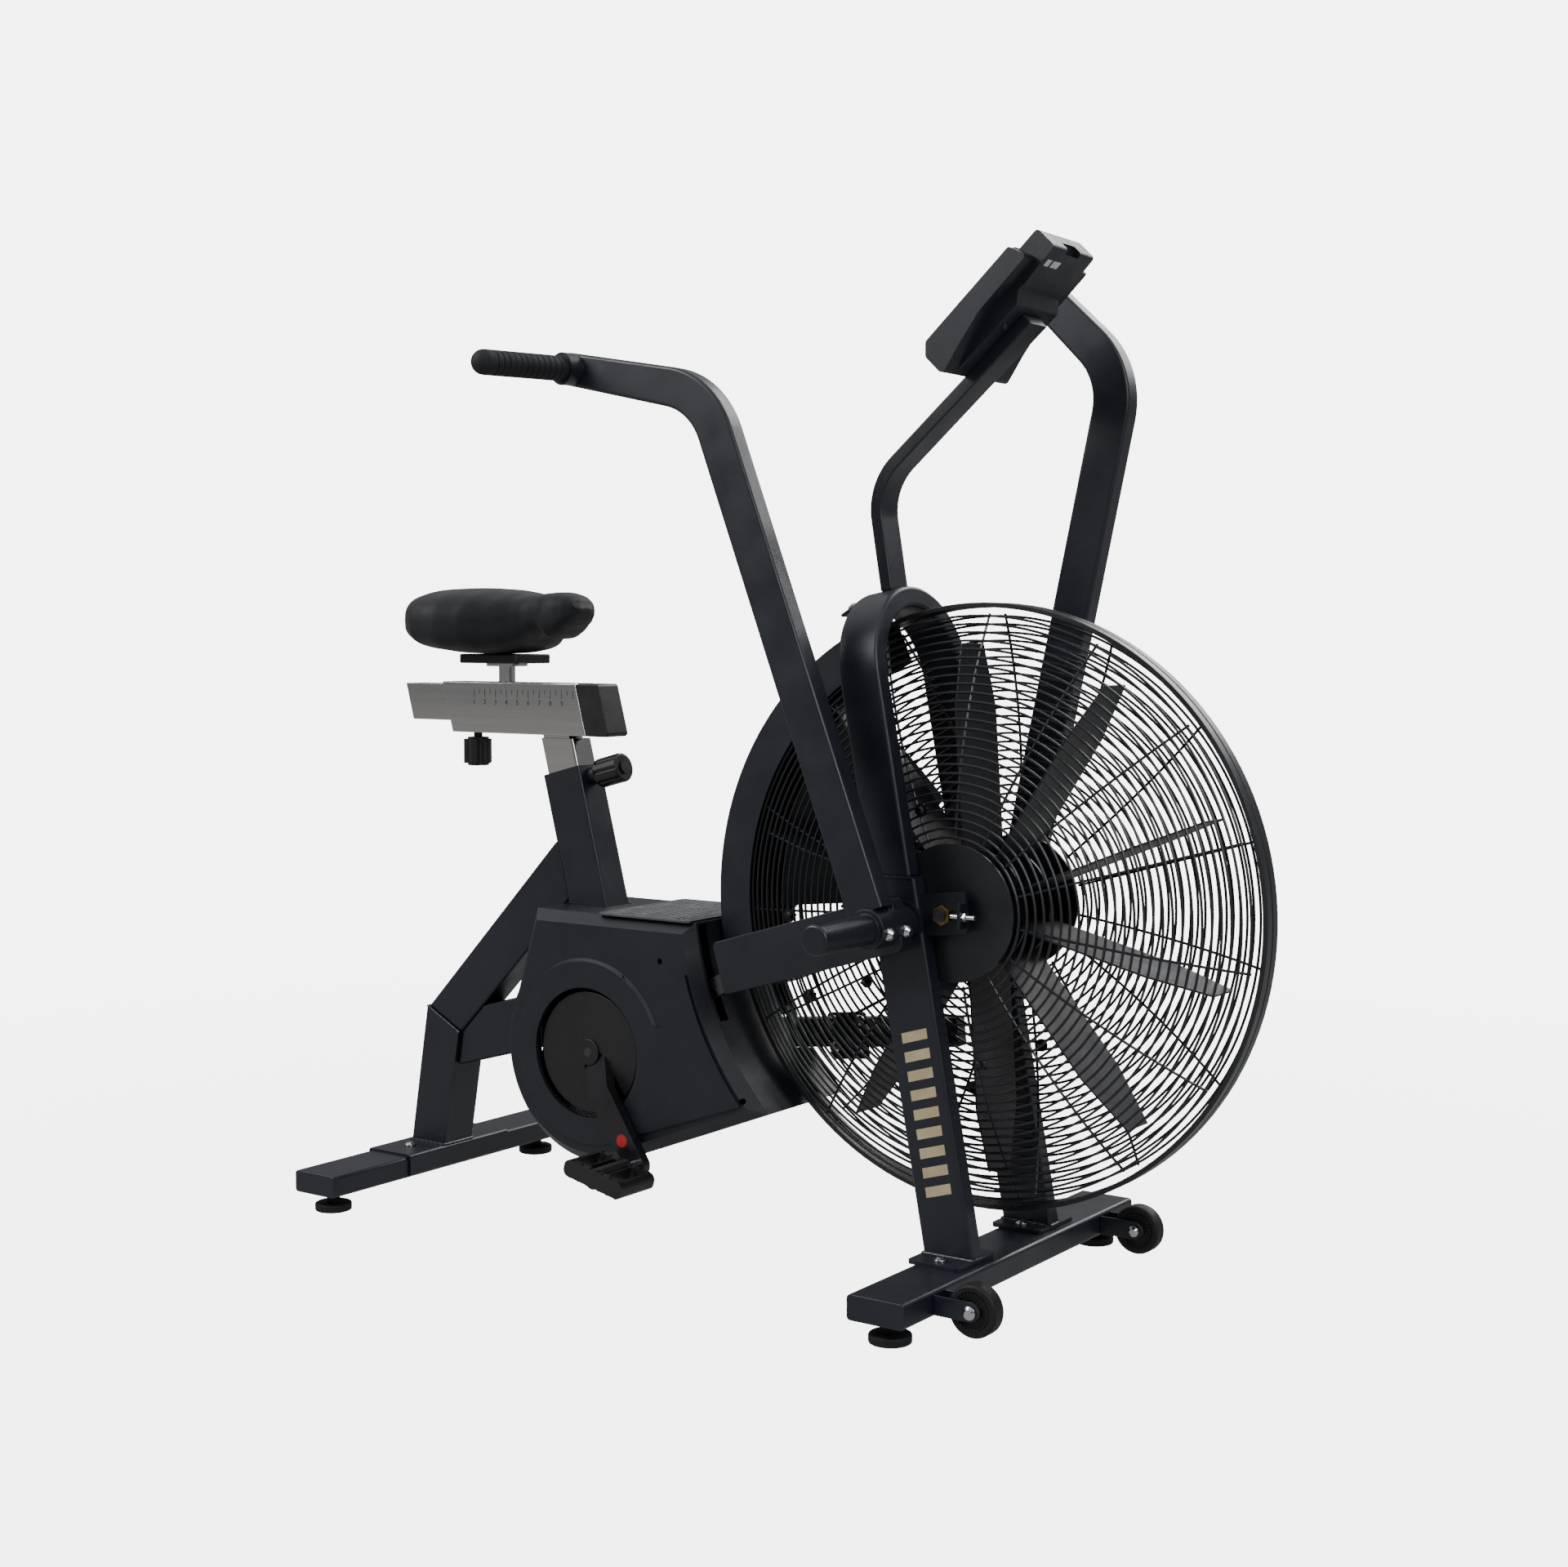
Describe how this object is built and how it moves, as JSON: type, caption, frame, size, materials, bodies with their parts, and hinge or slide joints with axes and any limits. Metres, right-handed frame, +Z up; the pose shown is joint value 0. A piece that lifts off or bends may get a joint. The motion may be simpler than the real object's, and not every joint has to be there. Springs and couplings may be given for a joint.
{
  "type": "air bike",
  "caption": "Fan-braked exercise bike with coupled push-pull levers, caged fan, pedals, sliding saddle, console and transport wheels.",
  "frame": {"origin": "on the floor, midway along and across the machine", "axes": "+X forward to the fan, +Y to the rider's left, +Z up"},
  "size_m": [1.3101, 0.677, 1.2753],
  "materials": {
    "powder": "satin",
    "wire": "satin",
    "fan_paint": "satin",
    "drive": "satin",
    "cover": "satin",
    "black": "satin",
    "pin_knob": "satin",
    "crank_paint": "gloss",
    "stainless": "polished",
    "chrome": "polished",
    "black_screws": "satin",
    "brass": "satin",
    "tread": "satin",
    "grip_rubber": "matte",
    "tyre": "matte",
    "screen": "gloss",
    "saddle_cover": "satin"
  },
  "bodies": {
    "frame": {"front_stabilizer": "powder", "rear_stabilizer": "powder", "rear_upright": "powder", "seat_tube": "powder", "diagonal_strut": "powder", "rear_beam": "powder", "fork_post_left": "powder", "fork_post_right": "powder", "fork_plates": "powder", "fan_arch": "powder", "fan_beam": "powder", "console_mast": "powder", "pivot_shafts": "powder", "bottom_bracket": "powder", "wind_guard": "powder", "guard_left": "wire", "guard_right": "wire", "guard_rims": "wire", "fan_axle": "drive", "shroud_left": "cover", "shroud_right": "cover", "console_housing": "cover", "frame_bolts": "chrome", "guard_screws": "black_screws", "axle_nuts": "brass", "step_plate": "tread", "feet": "grip_rubber", "drive_belt": "grip_rubber", "console_screen": "screen"},
    "crank": {"crank_axle": "drive", "drive_pulley": "drive", "crank_arm_right": "crank_paint", "crank_arm_left": "crank_paint", "crank_covers": "black", "crank_bolts": "chrome"},
    "fan": {"fan_hub": "fan_paint", "fan_blades": "fan_paint"},
    "pedal_r": {"pedal_right": "black"},
    "pedal_l": {"pedal_left": "black"},
    "lever_r": {"lever_right": "powder", "lever_hub_right": "powder", "grip_right": "grip_rubber", "lever_nuts_right": "chrome"},
    "lever_l": {"lever_left": "powder", "lever_hub_left": "powder", "grip_left": "grip_rubber", "lever_nuts_left": "chrome"},
    "rod_r": {"rod_right": "drive"},
    "rod_l": {"rod_left": "drive"},
    "seat_mast": {"seat_post": "stainless", "slider_inner": "stainless"},
    "carriage": {"slider_outer": "stainless", "slider_cap": "black", "saddle_post": "chrome", "saddle_clamp": "black", "saddle": "saddle_cover"},
    "slide_knob": {"slider_knob": "black"},
    "pin_knob": {"post_pin_knob": "pin_knob"},
    "wheel_r": {"wheel_right": "tyre"},
    "wheel_l": {"wheel_left": "tyre"}
  },
  "joints": [
    {"name": "fan_spin", "type": "hinge", "parent": "frame", "child": "fan", "pos_m": [0.29, 0, 0.464], "axis": [0, -1, 0], "continuous": true},
    {"name": "crank_spin", "type": "hinge", "parent": "frame", "child": "crank", "pos_m": [-0.253, 0, 0.241], "axis": [0, -1, 0], "continuous": true},
    {"name": "right_pedal", "type": "hinge", "parent": "crank", "child": "pedal_r", "pos_m": [-0.15742, -0.17, 0.1065], "axis": [0, -1, 0], "continuous": true},
    {"name": "left_pedal", "type": "hinge", "parent": "crank", "child": "pedal_l", "pos_m": [-0.34858, 0.17, 0.3755], "axis": [0, -1, 0], "continuous": true},
    {"name": "right_lever", "type": "hinge", "parent": "frame", "child": "lever_r", "pos_m": [0.24, -0.17, 0.452], "axis": [0, -1, 0], "range_deg": [-33, 0]},
    {"name": "left_lever", "type": "hinge", "parent": "frame", "child": "lever_l", "pos_m": [0.24, 0.17, 0.452], "axis": [0, -1, 0], "range_deg": [0, 33]},
    {"name": "right_rod", "type": "hinge", "parent": "lever_r", "child": "rod_r", "pos_m": [0.02427, -0.0705, 0.3881], "axis": [0, -1, 0], "range_deg": [0, 52]},
    {"name": "left_rod", "type": "hinge", "parent": "lever_l", "child": "rod_l", "pos_m": [0.02427, 0.0705, 0.5159], "axis": [0, -1, 0], "range_deg": [-52, 0]},
    {"name": "seat_height", "type": "slide", "parent": "frame", "child": "seat_mast", "axis": [-0.2521, 0, 0.9677], "range_m": [-0.02, 0.1]},
    {"name": "seat_reach", "type": "slide", "parent": "seat_mast", "child": "carriage", "axis": [1, 0, 0], "range_m": [0, 0.1]},
    {"name": "slider_clamp_turn", "type": "hinge", "parent": "carriage", "child": "slide_knob", "pos_m": [-0.533, 0, 0.625], "axis": [0, 0, 1], "range_deg": [0, 180]},
    {"name": "pin_pull", "type": "slide", "parent": "frame", "child": "pin_knob", "axis": [0.9677, 0, 0.2521], "range_m": [0, 0.01], "stiffness_N_per_m": 900, "springref_m": -0.01},
    {"name": "right_wheel", "type": "hinge", "parent": "frame", "child": "wheel_r", "pos_m": [0.399, -0.206, 0.041], "axis": [0, -1, 0], "continuous": true},
    {"name": "left_wheel", "type": "hinge", "parent": "frame", "child": "wheel_l", "pos_m": [0.399, 0.206, 0.041], "axis": [0, -1, 0], "continuous": true}
  ],
  "couplings": [
    {"joint": "crank_spin", "follows": "fan_spin", "ratio": 0.35789},
    {"joint": "left_lever", "follows": "right_lever", "ratio": -1},
    {"joint": "right_rod", "follows": "right_lever", "ratio": -1.569},
    {"joint": "left_rod", "follows": "right_lever", "ratio": 1.569}
  ]
}
